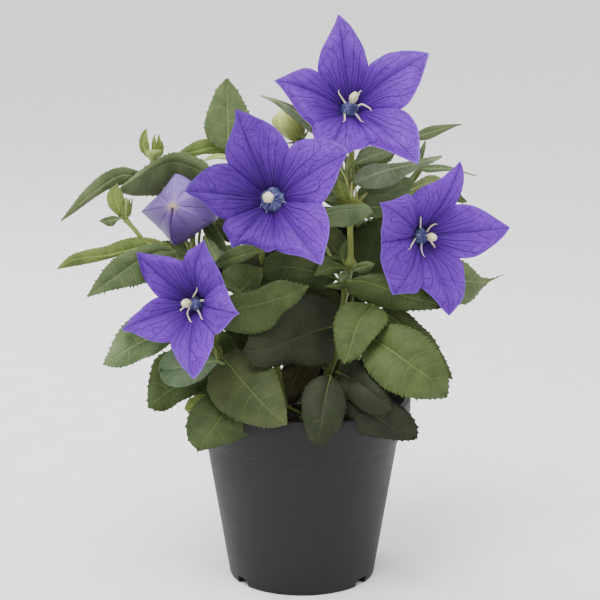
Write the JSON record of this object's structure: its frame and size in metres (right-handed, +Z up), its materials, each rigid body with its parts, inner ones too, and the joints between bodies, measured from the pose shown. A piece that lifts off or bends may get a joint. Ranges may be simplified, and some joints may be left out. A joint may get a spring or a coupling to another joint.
{
  "type": "potted balloon flower",
  "caption": "Balloon flower plant in a plastic nursery pot: open five-lobed violet-blue flowers, an inflated bud and small green buds above leafy stems in compost.",
  "frame": {"origin": "on the pot's vertical axis, at the surface the pot stands on", "axes": "+Z up along the pot's axis, -Y towards the side that the open flowers face, +X to the right seen from there"},
  "size_m": [0.2045, 0.1352, 0.2684],
  "materials": {
    "pot_plastic": "satin moulded plastic",
    "compost": "rough, crumbly",
    "petal": "soft, veined",
    "stamen": "soft",
    "stigma": "soft",
    "calyx": "soft",
    "bud_violet": "soft, faintly ribbed",
    "bud_green": "soft, faintly ribbed",
    "young_leaf": "soft",
    "stem": "smooth",
    "leaf": "matt, veined, finely toothed"
  },
  "bodies": {
    "root": {"pot": "pot_plastic", "soil": "compost", "corolla_top": "petal", "stamens_top": "stamen", "pistil_top": "stigma", "calyx_top": "calyx", "corolla_centre": "petal", "stamens_centre": "stamen", "pistil_centre": "stigma", "calyx_centre": "calyx", "corolla_left": "petal", "stamens_left": "stamen", "pistil_left": "stigma", "calyx_left": "calyx", "corolla_right": "petal", "stamens_right": "stamen", "pistil_right": "stigma", "calyx_right": "calyx", "bud_balloon": "bud_violet", "bud_balloon_calyx": "calyx", "bud_green": "bud_green", "bud_green_calyx": "calyx", "bud_small": "young_leaf", "bud_cluster_left": "young_leaf", "stem_front_short": "stem", "stem_left_flower": "stem", "stem_right_flower": "stem", "stem_centre_flower": "stem", "stem_balloon_bud": "stem", "stem_left_branch": "stem", "stem_top_flower": "stem", "stem_back_right": "stem", "stem_back_left": "stem", "leaf_top_upright": "leaf", "leaf_top_young": "leaf", "leaf_left_arching": "leaf", "leaf_left_upper": "leaf", "leaf_left_long": "leaf", "leaf_left_lower": "leaf", "leaf_left_outer": "leaf", "leaf_left_round": "leaf", "leaf_left_hanging": "leaf", "leaf_rim_left": "leaf", "leaf_centre_small": "leaf", "leaf_centre_olive": "leaf", "leaf_centre_broad": "leaf", "leaf_centre_rear": "leaf", "leaf_centre_dark": "leaf", "leaf_front_broad": "leaf", "leaf_stem_crossing": "leaf", "leaf_right_long": "leaf", "leaf_front_hanging": "leaf", "leaf_right_broad": "leaf", "leaf_right_rear": "leaf", "leaf_rim_front": "leaf", "leaf_front_right": "leaf", "leaf_rim_right": "leaf", "leaf_right_pointed": "leaf", "leaf_right_outer": "leaf"}
  },
  "joints": []
}
